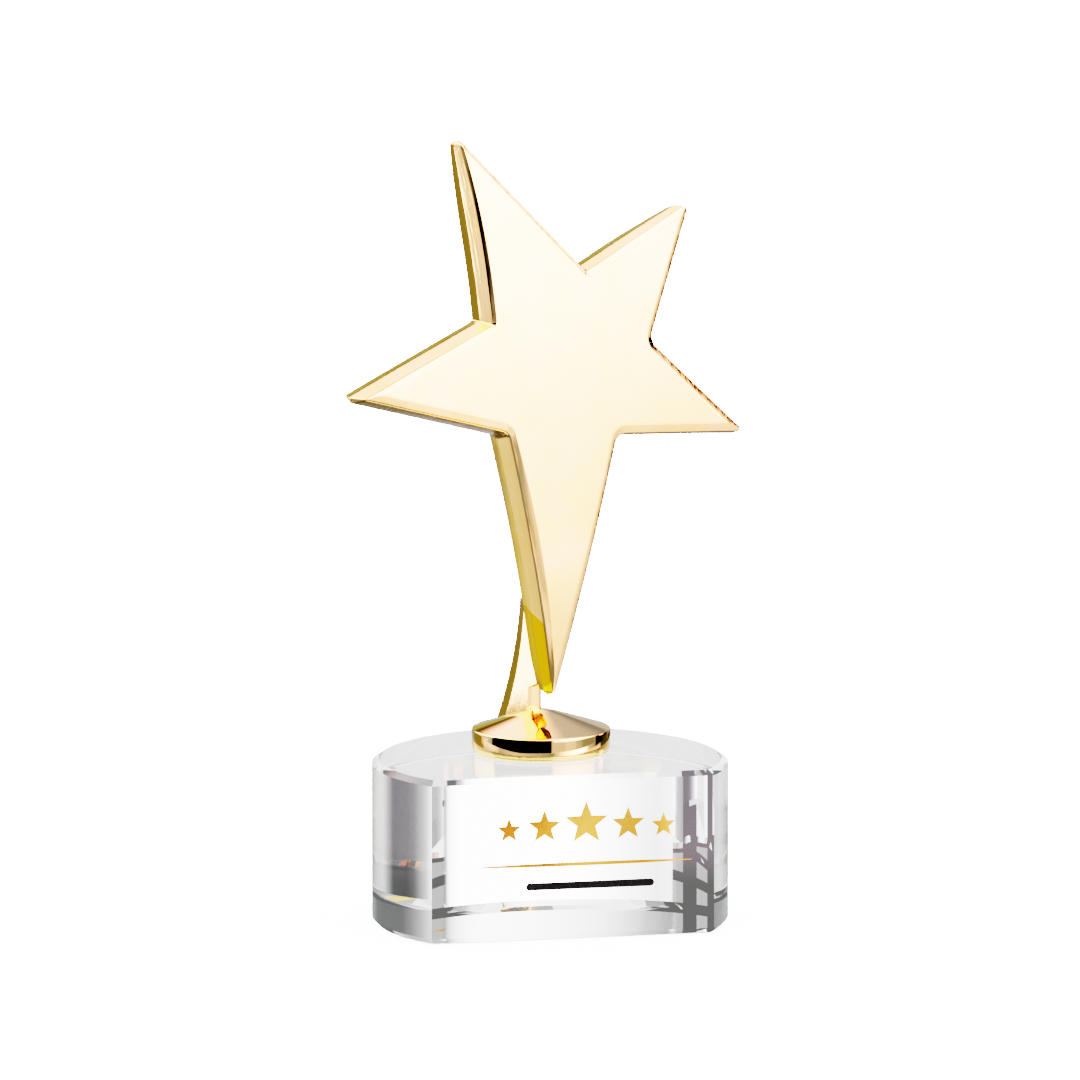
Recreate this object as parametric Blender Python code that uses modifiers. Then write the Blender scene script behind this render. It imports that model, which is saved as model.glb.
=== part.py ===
"""Star trophy: a cast star on a curved leg, standing on a low domed disc that is
bonded to a clear crystal block.

Frame: +Z up, the front of the crystal faces -Y, and the origin is the centre of the
block's round plan, on its underside.  Lengths below are in millimetres.
"""
import math

import bpy
import bmesh
from mathutils import Vector

MM = 0.001

# ---------------------------------------------------------------- driving dimensions
GAP = 0.3                      # clearance kept between neighbouring pieces

CRYSTAL_RADIUS = 46.4          # round plan of the block
CRYSTAL_FLAT = 27.3            # centre of the round plan to the flat front facet
CRYSTAL_HEIGHT = 43.0
CRYSTAL_RIM_ROUND = 1.85       # 45 degree chamfer on the round rim, top
CRYSTAL_RIM_FLAT = 1.3         # and along the top of the flat facet
CRYSTAL_FOOT = 1.4             # chamfer round the underside
CRYSTAL_STEPS = 120            # facets round the curved wall

FIGURE_OFFSET = 10.8           # the star's axis stands behind the centre of the round plan
FIGURE_TURN = 24.0             # and is turned to the right of the block's front, degrees

DISC_RADIUS = 18.1
DISC_FOOT_RADIUS = 17.75       # the wall draws in a little at its foot
DISC_BOTTOM = CRYSTAL_HEIGHT + 0.4
DISC_APEX = 54.05
DOME_SLOPE = 0.325             # the top is a blunt cone with this slope
DOME_BLUNT = 2.5               # and this much softness at its apex
DISC_SHELL = 2.4               # wall of the hollow casting
DISC_STEPS = 72

STAR_FRONT_EDGE = -8.0         # depth of the front arris, in front of the figure's axis
STAR_WALL = 9.3                # thickness between the front and back arrises
STAR_BEVEL_DEPTH = 0.6
STAR_RIDGE = 0.8               # the parting ridge stands proud of the arrises by this
STAR_BACK_BEVEL = 1.3

# Corners of the star's front arris, anticlockwise from the tall tip as seen from the
# front: x, height, corner radius, then for the edge that follows the corner its bow
# (towards the inside), its front bevel width, the bevel's extra width half way along,
# how far the parting ridge stands proud of it, and how far the back arris lies inside it.
STAR_CORNERS = (
    ("tip_tall",  -32.7, 208.5, 0.9, 1.5, 0.8, 0.0, 0.7, 0.0),
    ("crook_1",   -21.4, 158.3, 0.9, 0.0, 0.8, 0.0, 0.8, 0.0),
    ("tip_left",  -62.8, 142.8, 0.25, 0.0, 2.1, 0.0, 1.6, 0.0),
    ("crook_2",   -16.4, 129.6, 3.0, 1.3, 1.4, 1.1, 0.8, 0.0),
    ("tip_foot",   -2.0,  57.6, 0.6, -0.8, 1.8, 0.0, 0.8, 0.0),
    ("crook_3",    18.9, 125.7, 3.2, 0.0, 2.1, 0.0, 1.0, 0.0),
    ("tip_right",  60.4, 122.2, 0.8, 0.0, 1.5, 0.0, 0.8, 0.0),
    ("crook_4",    29.4, 149.3, 4.0, 0.0, 1.7, 0.0, 0.8, 0.0),
    ("tip_short",  42.3, 184.6, 1.0, 0.0, 1.8, 0.0, 0.1, 0.9),
    ("crook_5",     8.8, 169.5, 1.5, 0.0, 1.0, 0.0, 0.8, 0.0),
)
# How much thinner the star is towards each tip: the loss at the tip, the length of arm
# over which it fades out, and how sharply.
STAR_TIP_THINNING = {
    "tip_tall": ((5.5, 36.0, 2.5),),
    "tip_left": ((0.3, 20.0, 2.0),),
    "tip_foot": ((1.4, 62.0, 1.0), (3.6, 16.0, 3.0)),
    "tip_right": ((3.0, 22.0, 2.5),),
    "tip_short": ((3.0, 24.0, 1.6),),
}
STAR_HEART = (4.0, 146.0)      # the arms point away from here
EDGE_POINTS = 5                # points along each edge of the star
TIP_POINTS = 5
CROOK_POINTS = 7

LEG_THICKNESS = 4.4
LEG_FLANK = 1.0                # the rear chamfer takes this off each side
LEG_TOP = 82.3

DOWEL_RADIUS = 1.0
DOWEL_LENGTH = 7.6
DOWEL_FRONT = -2.0
DOWEL_HEIGHTS = (71.0, 78.0)

SCREW_DEPTH = 8.0              # the screw's axis, behind the figure's axis
SCREW_RADIUS = 1.25
SCREW_HEAD_RADIUS = 2.5
SCREW_HEAD_HEIGHT = 1.7
SCREW_HEAD_BOTTOM = CRYSTAL_HEIGHT + 0.6
SCREW_TOP = 60.5
WASHER_RADIUS = 3.1
WASHER_THICKNESS = 0.5
BOSS_RADIUS = 3.4
BOSS_BOTTOM = 46.0

RING_INNER = 15.2              # adhesive ring under the disc's wall
RING_OUTER = 17.4
RING_THICKNESS = 0.2


# ---------------------------------------------------------------- scene and materials
for old in list(bpy.context.scene.objects):
    bpy.data.objects.remove(old, do_unlink=True)

trophy = bpy.data.collections.new("star_trophy")
cutters = bpy.data.collections.new("star_trophy_cutters")
for group in (trophy, cutters):
    bpy.context.scene.collection.children.link(group)


def material(name, colour, metallic, roughness, transmission=0.0, ior=1.45):
    mat = bpy.data.materials.new(name)
    mat.use_nodes = True
    shader = mat.node_tree.nodes["Principled BSDF"]
    shader.inputs["Base Color"].default_value = (*colour, 1.0)
    shader.inputs["Metallic"].default_value = metallic
    shader.inputs["Roughness"].default_value = roughness
    shader.inputs["Transmission Weight"].default_value = transmission
    shader.inputs["IOR"].default_value = ior
    mat.diffuse_color = (*colour, 1.0)
    return mat


gold = material("gold_plate", (0.93, 0.74, 0.33), 1.0, 0.06)
crystal_glass = material("crystal", (0.96, 0.98, 0.99), 0.0, 0.01, 1.0, 1.52)
adhesive = material("clear_adhesive", (0.93, 0.94, 0.92), 0.0, 0.2, 0.9, 1.5)
steel = material("bright_steel", (0.62, 0.62, 0.63), 1.0, 0.3)
zinc = material("zinc_plated_steel", (0.72, 0.73, 0.75), 1.0, 0.35)


def place(obj, mat, parent=None, collection=None):
    (collection or trophy).objects.link(obj)
    obj.data.materials.append(mat)
    if parent is not None:
        obj.parent = parent
    return obj


def finish_mesh(bm, name):
    bmesh.ops.recalc_face_normals(bm, faces=bm.faces)
    bmesh.ops.scale(bm, vec=(MM, MM, MM), verts=bm.verts)
    mesh = bpy.data.meshes.new(name)
    bm.to_mesh(mesh)
    bm.free()
    mesh.shade_smooth()
    mesh.set_sharp_from_angle(angle=math.radians(22))
    return bpy.data.objects.new(name, mesh)


def ring_solid(rings):
    """Fill the first outline, then extrude it through each of the others in turn."""
    bm = bmesh.new()
    face = bm.faces.new([bm.verts.new(p) for p in rings[0]])
    ordered = list(face.verts)
    for level, ring in enumerate(rings[1:]):
        index = {tuple(v.co): i for i, v in enumerate(ordered)}
        made = bmesh.ops.extrude_face_region(bm, geom=[face])["geom"]
        if level > 0 and face.is_valid:
            bmesh.ops.delete(bm, geom=[face], context="FACES_ONLY")
        face = next(g for g in made if isinstance(g, bmesh.types.BMFace))
        ordered = sorted(face.verts, key=lambda v: index[tuple(v.co)])
        for vert, point in zip(ordered, ring):
            vert.co = point
    return bm


def cylinder(radius, z0, z1, steps=48):
    bm = bmesh.new()
    bmesh.ops.create_cone(bm, cap_ends=True, cap_tris=False, segments=steps,
                          radius1=radius, radius2=radius, depth=z1 - z0)
    bmesh.ops.translate(bm, verts=bm.verts, vec=(0, 0, (z0 + z1) / 2))
    return bm


def boolean(target, cutter, operation="DIFFERENCE"):
    mod = target.modifiers.new(operation.lower() + "_" + cutter.name, "BOOLEAN")
    mod.operation = operation
    mod.solver = "EXACT"
    mod.object = cutter


def cutter(bm, name, parent=None):
    obj = finish_mesh(bm, name)
    cutters.objects.link(obj)
    obj.hide_render = True
    obj.display_type = "WIRE"
    if parent is not None:
        obj.parent = parent
    return obj


# ---------------------------------------------------------------- crystal block
def crystal_outline(round_inset, flat_inset, z):
    radius = CRYSTAL_RADIUS - round_inset
    flat = CRYSTAL_FLAT - flat_inset
    half = math.acos(flat / radius)
    start = -math.pi / 2 + half
    sweep = 2 * math.pi - 2 * half
    return [Vector((radius * math.cos(start + sweep * i / CRYSTAL_STEPS),
                    radius * math.sin(start + sweep * i / CRYSTAL_STEPS), z))
            for i in range(CRYSTAL_STEPS + 1)]


crystal_base = place(finish_mesh(ring_solid([
    crystal_outline(CRYSTAL_FOOT, CRYSTAL_FOOT, 0.0),
    crystal_outline(0.0, 0.0, CRYSTAL_FOOT),
    crystal_outline(0.0, 0.0, CRYSTAL_HEIGHT - CRYSTAL_RIM_FLAT),
    crystal_outline(CRYSTAL_RIM_ROUND, CRYSTAL_RIM_FLAT, CRYSTAL_HEIGHT),
]), "crystal_base"), crystal_glass)

# ---------------------------------------------------------------- the figure's axis
figure_axis = bpy.data.objects.new("figure_axis", None)
figure_axis.location = (0.0, FIGURE_OFFSET * MM, 0.0)
figure_axis.rotation_euler = (0.0, 0.0, math.radians(FIGURE_TURN))
trophy.objects.link(figure_axis)


# ---------------------------------------------------------------- domed disc
def dome(radius):
    return DISC_APEX - DOME_SLOPE * (math.hypot(radius, DOME_BLUNT) - DOME_BLUNT)


def disc_profile():
    shoulder = DISC_RADIUS - 0.9
    points = [(shoulder * i / 10, dome(shoulder * i / 10)) for i in range(11)]
    drop = 0.95
    for i in range(1, 5):
        a = math.radians(90 * i / 4)
        points.append((shoulder + 0.9 * math.sin(a), dome(shoulder) - drop * (1 - math.cos(a))))
    points.append((DISC_RADIUS, DISC_BOTTOM + 1.6))
    points.append((DISC_FOOT_RADIUS, DISC_BOTTOM))
    inner = DISC_FOOT_RADIUS - DISC_SHELL - 0.9
    points.append((inner, DISC_BOTTOM))
    points.append((inner + 0.1, dome(inner) - DISC_SHELL - 0.8))
    for i in range(6, -1, -1):
        points.append((inner * 0.93 * i / 6, dome(inner * 0.93 * i / 6) - DISC_SHELL))
    return points


disc_mesh = bpy.data.meshes.new("base_disc")
profile = [Vector((r * MM, 0.0, z * MM)) for r, z in disc_profile()]
disc_mesh.from_pydata(profile, [(i, i + 1) for i in range(len(profile) - 1)], [])
base_disc = place(bpy.data.objects.new("base_disc", disc_mesh), gold, figure_axis)
turn = base_disc.modifiers.new("turned", "SCREW")
turn.axis = "Z"
turn.angle = 2 * math.pi
turn.steps = turn.render_steps = DISC_STEPS
turn.use_merge_vertices = True
turn.merge_threshold = 0.00001
turn.use_smooth_shade = True

boss = cutter(cylinder(BOSS_RADIUS, BOSS_BOTTOM, dome(SCREW_DEPTH + BOSS_RADIUS) - 0.1, 40),
              "boss_blank", figure_axis)
boss.location = (0.0, SCREW_DEPTH * MM, 0.0)
boolean(base_disc, boss, "UNION")
disc_hole = cutter(cylinder(SCREW_RADIUS + GAP, BOSS_BOTTOM - 1.0, DISC_APEX + 2.0, 32),
                   "disc_screw_hole", figure_axis)
disc_hole.location = (0.0, SCREW_DEPTH * MM, 0.0)
boolean(base_disc, disc_hole)

# ---------------------------------------------------------------- adhesive ring
ring_z0 = CRYSTAL_HEIGHT + 0.1
bond_mesh = bpy.data.meshes.new("bond_ring")
section = [(RING_OUTER, ring_z0 + RING_THICKNESS), (RING_OUTER, ring_z0),
           (RING_INNER, ring_z0), (RING_INNER, ring_z0 + RING_THICKNESS)]
bond_mesh.from_pydata([Vector((r * MM, 0.0, z * MM)) for r, z in section],
                      [(i, (i + 1) % 4) for i in range(4)], [])
bond_ring = place(bpy.data.objects.new("bond_ring", bond_mesh), adhesive, figure_axis)
ring_turn = bond_ring.modifiers.new("turned", "SCREW")
ring_turn.axis = "Z"
ring_turn.angle = 2 * math.pi
ring_turn.steps = ring_turn.render_steps = DISC_STEPS
ring_turn.use_merge_vertices = True
ring_turn.merge_threshold = 0.00001


# ---------------------------------------------------------------- star
def line_meet(p, d, q, e):
    """Where the line through p along d meets the line through q along e."""
    cross = d.x * e.y - d.y * e.x
    t = ((q.x - p.x) * e.y - (q.y - p.y) * e.x) / cross
    return p + d * t


def star_outline(insets, swells, extra_radius):
    """The star's outline with every edge moved in by its own inset.

    Corners are rounded, an edge's bow is kept, and a swell moves the middle of an edge
    in further.  Tips lose and crooks gain the radius that moving the edge in takes
    away or adds.
    """
    corners = [Vector((c[1], c[2])) for c in STAR_CORNERS]
    count = len(corners)
    moved = []
    for i in range(count):
        a, b = corners[i], corners[(i + 1) % count]
        d = (b - a).normalized()
        inward = Vector((-d.y, d.x))
        moved.append((a + inward * insets[i], d))
    sharp = [line_meet(moved[i - 1][0], moved[i - 1][1], moved[i][0], moved[i][1])
             for i in range(count)]

    def on_edge(i, u):
        a, b = sharp[i], sharp[(i + 1) % count]
        d = b - a
        inward = Vector((-d.y, d.x)).normalized()
        bow = STAR_CORNERS[i][4] + swells[i]
        point = a + d * u + inward * (4 * bow * u * (1 - u))
        tangent = (d + inward * (4 * bow * (1 - 2 * u))).normalized()
        return point, tangent

    reach = []
    for i in range(count):
        before = (sharp[i] - sharp[i - 1]).normalized()
        after = (sharp[(i + 1) % count] - sharp[i]).normalized()
        turning = math.acos(max(-1.0, min(1.0, before.dot(after))))
        is_tip = STAR_CORNERS[i][0].startswith("tip")
        radius = STAR_CORNERS[i][3] + (-extra_radius if is_tip else extra_radius)
        reach.append((max(radius, 0.12) * math.tan(turning / 2), turning))

    points = []
    for i in range(count):
        length_before = (sharp[i] - sharp[i - 1]).length
        length_after = (sharp[(i + 1) % count] - sharp[i]).length
        p0, t0 = on_edge((i - 1) % count, 1 - reach[i][0] / length_before)
        p2, t2 = on_edge(i, reach[i][0] / length_after)
        p1 = line_meet(p0, t0, p2, t2)
        weight = math.cos(reach[i][1] / 2)
        steps = TIP_POINTS if STAR_CORNERS[i][0].startswith("tip") else CROOK_POINTS
        for k in range(steps + 1):
            t = k / steps
            w0, w1, w2 = (1 - t) ** 2, 2 * t * (1 - t) * weight, t * t
            points.append((p0 * w0 + p1 * w1 + p2 * w2) / (w0 + w1 + w2))
        u0 = reach[i][0] / length_after
        u1 = 1 - reach[(i + 1) % count][0] / length_after
        for k in range(1, EDGE_POINTS + 1):
            u = u0 + (u1 - u0) * k / (EDGE_POINTS + 1)
            points.append(on_edge(i, u)[0])
    return points


def star_ring(insets, swells, extra_radius, depth):
    return [Vector((p.x, depth, p.y)) for p in star_outline(insets, swells, extra_radius)]


none = [0.0] * len(STAR_CORNERS)
front_insets = [c[5] for c in STAR_CORNERS]
front_swells = [c[6] for c in STAR_CORNERS]
ridge_insets = [-c[7] for c in STAR_CORNERS]
wall_insets = [c[8] for c in STAR_CORNERS]
back_insets = [c[8] + STAR_BACK_BEVEL for c in STAR_CORNERS]
front_arris = STAR_FRONT_EDGE
back_arris = STAR_FRONT_EDGE + STAR_WALL
star_bm = ring_solid([
    star_ring(front_insets, front_swells, 1.2, front_arris - STAR_BEVEL_DEPTH),
    star_ring(none, none, 0.0, front_arris),
    star_ring(ridge_insets, none, -0.8, (front_arris + back_arris) / 2),
    star_ring(wall_insets, none, 0.0, back_arris),
    star_ring(back_insets, none, STAR_BACK_BEVEL, back_arris + STAR_BEVEL_DEPTH),
])

# Cross cuts near each tip, so that the back can thin towards it in flat facets.
heart = Vector(STAR_HEART)
thinnings = []
for label, x, z, *_ in STAR_CORNERS:
    for loss, length, power in STAR_TIP_THINNING.get(label, ()):
        tip = Vector((x, z))
        axis = (heart - tip).normalized()
        thinnings.append((tip, axis, loss, length, power))
        for share in (0.12, 0.22, 0.34, 0.5, 0.72, 1.0):
            point = tip + axis * (length * share)
            everything = star_bm.verts[:] + star_bm.edges[:] + star_bm.faces[:]
            bmesh.ops.bisect_plane(star_bm, geom=everything, dist=1e-5,
                                   plane_co=(point.x, 0.0, point.y),
                                   plane_no=(axis.x, 0.0, axis.y))


def star_thinning(x, z):
    """How much thinner than its full wall the star is at x, z."""
    thin = 0.0
    for tip, axis, loss, length, power in thinnings:
        d = (Vector((x, z)) - tip).dot(axis)
        if d < length:
            thin += loss * (1 - max(d, 0.0) / length) ** power
    return thin


for vert in star_bm.verts:
    behind = vert.co.y - STAR_FRONT_EDGE
    if behind > 0:
        thin = star_thinning(vert.co.x, vert.co.z)
        vert.co.y = STAR_FRONT_EDGE + behind * (1 - thin / STAR_WALL)

star = place(finish_mesh(star_bm, "star"), gold, figure_axis)


# ---------------------------------------------------------------- support leg
def bezier(p0, p1, p2, steps):
    out = []
    for k in range(steps + 1):
        t = k / steps
        out.append(((1 - t) ** 2 * p0[0] + 2 * t * (1 - t) * p1[0] + t * t * p2[0],
                    (1 - t) ** 2 * p0[1] + 2 * t * (1 - t) * p1[1] + t * t * p2[1]))
    return out


def leg_outline(rear, front_inset):
    """Side view of the leg, depth and height: rear curve down, foot, front edge up."""
    foot_rear = rear[-1][0]
    foot_front = 2.7 + front_inset
    foot = [foot_rear + (foot_front - foot_rear) * k / 8 for k in range(1, 9)]
    foot = [(depth, dome(depth) + GAP) for depth in foot]
    toe = bezier((2.7, 55.0), (2.9, 56.6), (2.0, 59.4), 4)
    spine = [(star_back_at(z) + GAP, z) for z in (62.0, 65.0, 68.0, 72.0, 77.0, LEG_TOP)]
    front = [(depth + front_inset, z) for depth, z in toe + spine]
    return rear + foot + front


def star_back_at(z):
    """Depth of the star's back on its lower arm, at a height."""
    wall = STAR_WALL - star_thinning(0.0, z)
    return STAR_FRONT_EDGE + (STAR_WALL + STAR_BEVEL_DEPTH) * wall / STAR_WALL


leg_rear_outer = bezier((7.7, LEG_TOP), (8.9, 67.0), (17.9, dome(17.9) + GAP), 12)
leg_rear_inner = bezier((4.6, LEG_TOP - 0.4), (6.1, 66.5), (14.8, dome(14.8) + GAP + 0.1), 12)
outer = leg_outline(leg_rear_outer, 0.0)
inner = leg_outline(leg_rear_inner, 0.35)
half = LEG_THICKNESS / 2
leg_bm = ring_solid([
    [Vector((-half, d, z)) for d, z in inner],
    [Vector((-half + LEG_FLANK, d, z)) for d, z in outer],
    [Vector((half - LEG_FLANK, d, z)) for d, z in outer],
    [Vector((half, d, z)) for d, z in inner],
])
support_leg = place(finish_mesh(leg_bm, "support_leg"), gold, figure_axis)

leg_hole = cutter(cylinder(SCREW_RADIUS + GAP, CRYSTAL_HEIGHT, SCREW_TOP + GAP, 32),
                  "leg_screw_hole", figure_axis)
leg_hole.location = (0.0, SCREW_DEPTH * MM, 0.0)
boolean(support_leg, leg_hole)

# ---------------------------------------------------------------- dowels
for label, height in zip(("lower_dowel", "upper_dowel"), DOWEL_HEIGHTS):
    dowel = place(finish_mesh(cylinder(DOWEL_RADIUS, 0.0, DOWEL_LENGTH, 24), label),
                  steel, figure_axis)
    socket = cutter(cylinder(DOWEL_RADIUS + GAP, -GAP, DOWEL_LENGTH + GAP, 24),
                    label + "_socket", figure_axis)
    for obj in (dowel, socket):
        obj.location = (0.0, DOWEL_FRONT * MM, height * MM)
        obj.rotation_euler = (-math.pi / 2, 0.0, 0.0)
    chamfer = dowel.modifiers.new("chamfer", "BEVEL")
    chamfer.width = 0.2 * MM
    chamfer.segments = 1
    chamfer.limit_method = "ANGLE"
    chamfer.angle_limit = math.radians(60)
    boolean(star, socket)
    boolean(support_leg, socket)


# ---------------------------------------------------------------- screw and washer
def turned(name, section_points, mat, steps, closed):
    mesh = bpy.data.meshes.new(name)
    count = len(section_points)
    links = [(i, i + 1) for i in range(count - 1)]
    if closed:
        links.append((count - 1, 0))
    mesh.from_pydata([Vector((r * MM, 0.0, z * MM)) for r, z in section_points], links, [])
    obj = place(bpy.data.objects.new(name, mesh), mat, figure_axis)
    mod = obj.modifiers.new("turned", "SCREW")
    mod.axis = "Z"
    mod.angle = 2 * math.pi
    mod.steps = mod.render_steps = steps
    mod.use_merge_vertices = True
    mod.merge_threshold = 0.00001
    obj.location = (0.0, SCREW_DEPTH * MM, 0.0)
    return obj


head_top = SCREW_HEAD_BOTTOM + SCREW_HEAD_HEIGHT
leg_screw = turned("leg_screw", [
    (0.0, SCREW_TOP), (SCREW_RADIUS - 0.4, SCREW_TOP), (SCREW_RADIUS, SCREW_TOP - 0.4),
    (SCREW_RADIUS, head_top), (SCREW_HEAD_RADIUS, head_top),
    (SCREW_HEAD_RADIUS, SCREW_HEAD_BOTTOM + 0.6), (SCREW_HEAD_RADIUS - 0.5, SCREW_HEAD_BOTTOM),
    (0.0, SCREW_HEAD_BOTTOM)], zinc, 32, False)
drive_bm = cylinder(1.1, SCREW_HEAD_BOTTOM - 0.5, SCREW_HEAD_BOTTOM + 1.0, 6)
drive = cutter(drive_bm, "screw_drive", figure_axis)
drive.location = (0.0, SCREW_DEPTH * MM, 0.0)
boolean(leg_screw, drive)

washer_z1 = BOSS_BOTTOM - 0.1
washer_z0 = washer_z1 - WASHER_THICKNESS
screw_washer = turned("screw_washer", [
    (WASHER_RADIUS, washer_z1), (WASHER_RADIUS, washer_z0),
    (SCREW_RADIUS + GAP, washer_z0), (SCREW_RADIUS + GAP, washer_z1)], zinc, 40, True)
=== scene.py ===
"""Looks of the star trophy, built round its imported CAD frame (+Z up, -Y out of the flat facet)."""

import math

import bpy
import bmesh
from mathutils import Matrix, Vector


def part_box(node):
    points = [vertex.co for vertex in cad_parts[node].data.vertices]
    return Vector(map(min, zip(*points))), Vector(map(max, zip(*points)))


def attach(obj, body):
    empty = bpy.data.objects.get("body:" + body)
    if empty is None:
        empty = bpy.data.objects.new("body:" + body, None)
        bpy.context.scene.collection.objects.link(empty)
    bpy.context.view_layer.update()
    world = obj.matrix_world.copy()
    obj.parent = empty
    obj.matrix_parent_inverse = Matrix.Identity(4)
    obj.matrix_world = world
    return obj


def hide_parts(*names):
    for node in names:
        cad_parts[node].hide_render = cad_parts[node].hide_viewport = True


MM = 0.001

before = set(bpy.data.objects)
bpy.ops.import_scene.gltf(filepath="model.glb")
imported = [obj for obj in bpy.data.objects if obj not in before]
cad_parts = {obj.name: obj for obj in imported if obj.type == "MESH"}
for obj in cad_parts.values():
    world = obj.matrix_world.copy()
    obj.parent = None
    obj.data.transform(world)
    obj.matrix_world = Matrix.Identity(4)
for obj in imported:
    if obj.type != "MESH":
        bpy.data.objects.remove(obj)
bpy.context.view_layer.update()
crystal_lo, crystal_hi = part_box("crystal_base")
disc_lo, disc_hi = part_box("base_disc")
star_lo, star_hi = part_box("star")
leg_lo, leg_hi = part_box("support_leg")

# ------------------------------------------------------------------ sizes, millimetres
# The block, the disc and the figure's axis come from the CAD boxes.
CRYSTAL_RADIUS = (crystal_hi.x - crystal_lo.x) / 2 / MM
CRYSTAL_FLAT = -crystal_lo.y / MM
CRYSTAL_HEIGHT = crystal_hi.z / MM
CRYSTAL_RIM_ROUND = 1.85
CRYSTAL_RIM_FLAT = 1.3
CRYSTAL_FOOT = 1.4

FIGURE = Vector(((disc_lo.x + disc_hi.x) / 2, (disc_lo.y + disc_hi.y) / 2, 0.0))
FIGURE_TURN = math.radians(24.0)
TO_FIGURE = Matrix.Translation(FIGURE) @ Matrix.Rotation(FIGURE_TURN, 4, "Z")

DISC_RADIUS = (disc_hi.x - disc_lo.x) / 2 / MM
DISC_APEX = 54.05
DOME_SLOPE = 0.325
DOME_BLUNT = 2.5

STAR_FRONT = -8.0
STAR_WALL = 9.3
STAR_BEVEL_DEPTH = 0.6
STAR_BACK_BEVEL = 1.3
# label, x, height, corner radius, bow, front bevel, its swell, ridge, back inset
STAR_CORNERS = (
    ("tip_tall",  -32.7, 208.5, 0.9, 1.5, 0.8, 0.0, 0.7, 0.0),
    ("crook_1",   -21.4, 158.3, 0.9, 0.0, 0.8, 0.0, 0.8, 0.0),
    ("tip_left",  -62.8, 142.8, 0.25, 0.0, 2.1, 0.0, 1.6, 0.0),
    ("crook_2",   -16.4, 129.6, 3.0, 1.3, 1.4, 1.1, 0.8, 0.0),
    ("tip_foot",   -2.0,  57.6, 0.6, -0.8, 1.8, 0.0, 0.8, 0.0),
    ("crook_3",    18.9, 125.7, 3.2, 0.0, 2.1, 0.0, 1.0, 0.0),
    ("tip_right",  60.4, 122.2, 0.8, 0.0, 1.5, 0.0, 0.8, 0.0),
    ("crook_4",    29.4, 149.3, 4.0, 0.0, 1.7, 0.0, 0.8, 0.0),
    ("tip_short",  42.3, 184.6, 1.0, 0.0, 1.8, 0.0, 0.1, 0.9),
    ("crook_5",     8.8, 169.5, 1.5, 0.0, 1.0, 0.0, 0.8, 0.0),
)
STAR_TIP_THINNING = {
    "tip_tall": ((5.5, 36.0, 2.5),),
    "tip_left": ((0.3, 20.0, 2.0),),
    "tip_foot": ((1.4, 62.0, 1.0), (3.6, 16.0, 3.0)),
    "tip_right": ((3.0, 22.0, 2.5),),
    "tip_short": ((3.0, 24.0, 1.6),),
}
STAR_HEART = Vector((4.0, 146.0))
EDGE_POINTS = 26
TIP_POINTS = 9
CROOK_POINTS = 12

LEG_THICKNESS = 4.4
LEG_FLANK = 1.0
LEG_TOP = leg_hi.z / MM

VIEW_AZIMUTH = math.radians(-12.63)
VIEW_ELEVATION = math.radians(9.95)
VIEW_DISTANCE = 6.0


# ------------------------------------------------------------------ node helpers
class Nodes:
    """A small writer for node trees."""

    def __init__(self, tree):
        self.tree = tree

    def add(self, kind, **values):
        node = self.tree.nodes.new(kind)
        for key, value in values.items():
            setattr(node, key, value)
        return node

    def put(self, socket, value):
        if hasattr(value, "is_output"):
            self.tree.links.new(value, socket)
        else:
            socket.default_value = value

    def math(self, operation, a, b=0.0, c=0.0, clamp=False):
        node = self.add("ShaderNodeMath", operation=operation, use_clamp=clamp)
        for socket, value in zip(node.inputs, (a, b, c)):
            self.put(socket, value)
        return node.outputs[0]

    def vector(self, operation, a, b=(0.0, 0.0, 0.0)):
        node = self.add("ShaderNodeVectorMath", operation=operation)
        self.put(node.inputs[0], a)
        self.put(node.inputs[1], b)
        return node

    def span(self, value, lo, hi, out_lo=0.0, out_hi=1.0, smooth=True):
        """value from lo..hi to out_lo..out_hi, clamped."""
        node = self.add("ShaderNodeMapRange")
        node.interpolation_type = "SMOOTHSTEP" if smooth else "LINEAR"
        for name, v in (("Value", value), ("From Min", lo), ("From Max", hi),
                        ("To Min", out_lo), ("To Max", out_hi)):
            self.put(node.inputs[name], v)
        return node.outputs["Result"]

    def ramp(self, value, stops, mode="LINEAR"):
        node = self.add("ShaderNodeValToRGB")
        node.color_ramp.interpolation = mode
        elements = node.color_ramp.elements
        while len(elements) < len(stops):
            elements.new(0.5)
        for element, (position, colour) in zip(elements, stops):
            element.position = position
            element.color = (*colour, 1.0) if len(colour) == 3 else colour
        self.put(node.inputs["Fac"], value)
        return node.outputs["Color"]

    def noise(self, vector, scale, detail=2.0, roughness=0.5, distortion=0.0):
        node = self.add("ShaderNodeTexNoise")
        self.put(node.inputs["Vector"], vector)
        node.inputs["Scale"].default_value = scale
        node.inputs["Detail"].default_value = detail
        node.inputs["Roughness"].default_value = roughness
        node.inputs["Distortion"].default_value = distortion
        return node.outputs["Fac"]

    def mapping(self, vector, rotation=(0.0, 0.0, 0.0), scale=(1.0, 1.0, 1.0)):
        """The vector in a frame turned by rotation and divided by scale."""
        node = self.add("ShaderNodeMapping", vector_type="TEXTURE")
        self.put(node.inputs["Vector"], vector)
        node.inputs["Rotation"].default_value = rotation
        node.inputs["Scale"].default_value = scale
        return node.outputs["Vector"]

    def bump(self, height, strength, distance, normal=None):
        node = self.add("ShaderNodeBump")
        self.put(node.inputs["Height"], height)
        self.put(node.inputs["Strength"], strength)
        node.inputs["Distance"].default_value = distance
        if normal is not None:
            self.put(node.inputs["Normal"], normal)
        return node.outputs["Normal"]


def new_material(name):
    mat = bpy.data.materials.new(name)
    mat.use_nodes = True
    nodes = Nodes(mat.node_tree)
    shader = mat.node_tree.nodes["Principled BSDF"]
    coords = nodes.add("ShaderNodeTexCoord")
    return mat, nodes, shader, coords


GOLD_LIGHT = (1.0, 0.64, 0.225)
GOLD_DEEP = (0.97, 0.585, 0.17)


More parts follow.
